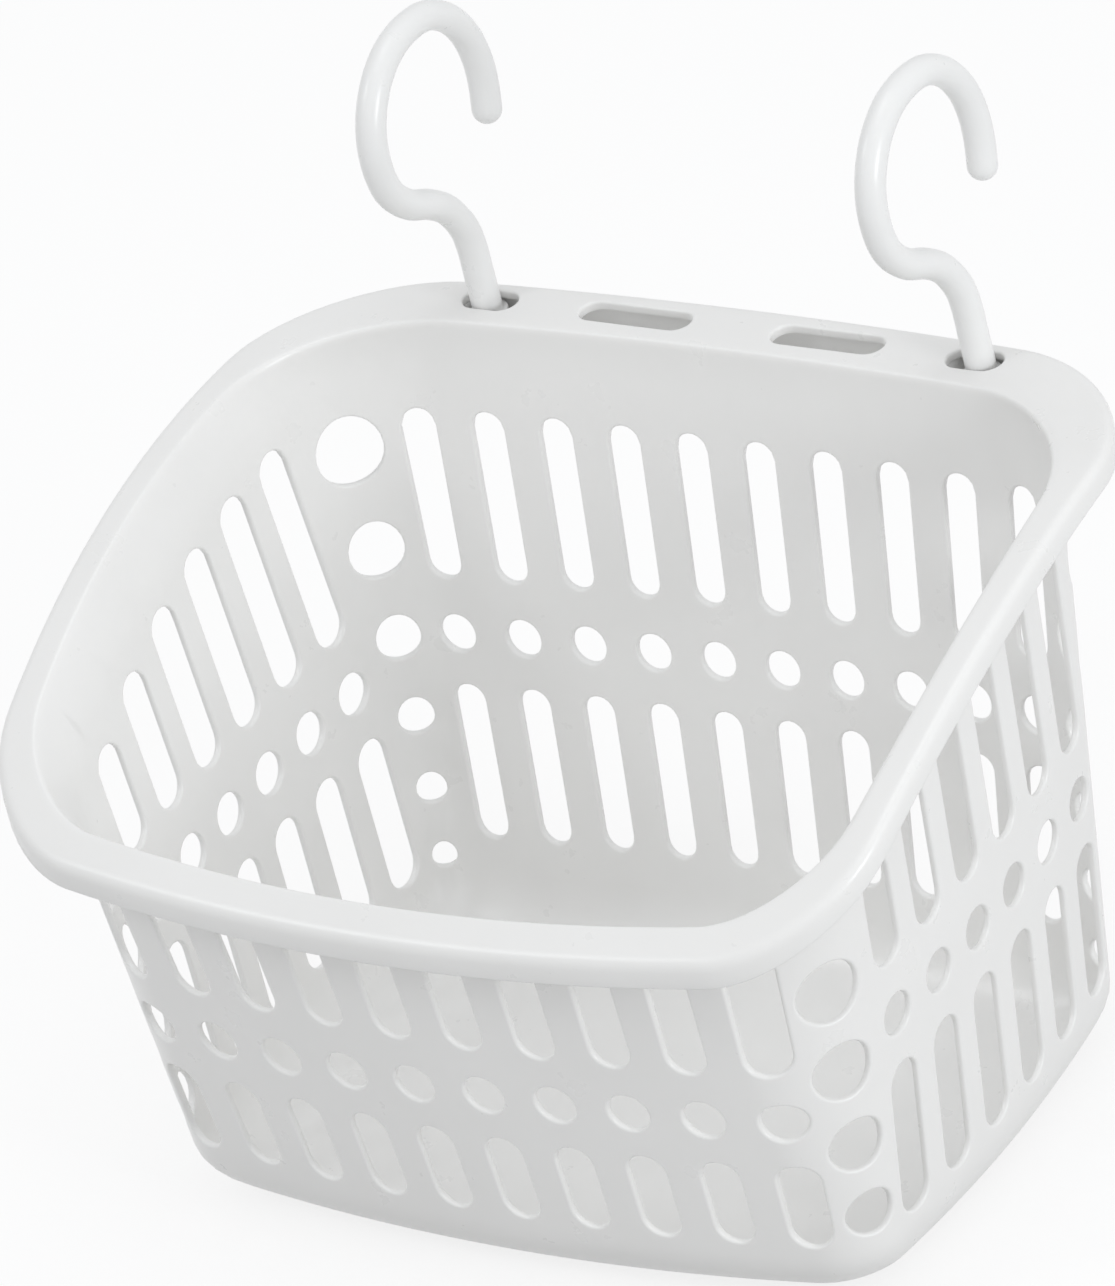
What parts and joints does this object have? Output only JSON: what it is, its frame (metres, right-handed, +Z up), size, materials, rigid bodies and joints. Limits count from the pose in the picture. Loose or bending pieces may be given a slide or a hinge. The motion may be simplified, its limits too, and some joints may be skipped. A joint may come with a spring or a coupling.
{
  "type": "hanging storage basket",
  "caption": "Slotted plastic basket with a flat rear ledge and swivelling hooks for hanging on a rail.",
  "frame": {"origin": "middle of the base's underside", "axes": "+Z up, +Y towards the rail or wall it hangs on, +X to the right when the front is seen"},
  "size_m": [0.2168, 0.1853, 0.2105],
  "materials": {
    "tub_plastic": "satin moulded polypropylene, white",
    "hook_plastic": "smooth moulded plastic, white"
  },
  "bodies": {
    "tub": {"tub": "tub_plastic"},
    "left_hook": {"left_hook": "hook_plastic"},
    "right_hook": {"right_hook": "hook_plastic"}
  },
  "joints": [
    {"name": "left_hook_swivel", "type": "hinge", "parent": "tub", "child": "left_hook", "pos_m": [-0.0609, 0.0893, 0.139], "axis": [0, 0, 1], "continuous": true},
    {"name": "right_hook_swivel", "type": "hinge", "parent": "tub", "child": "right_hook", "pos_m": [0.0609, 0.0893, 0.139], "axis": [0, 0, 1], "continuous": true}
  ]
}
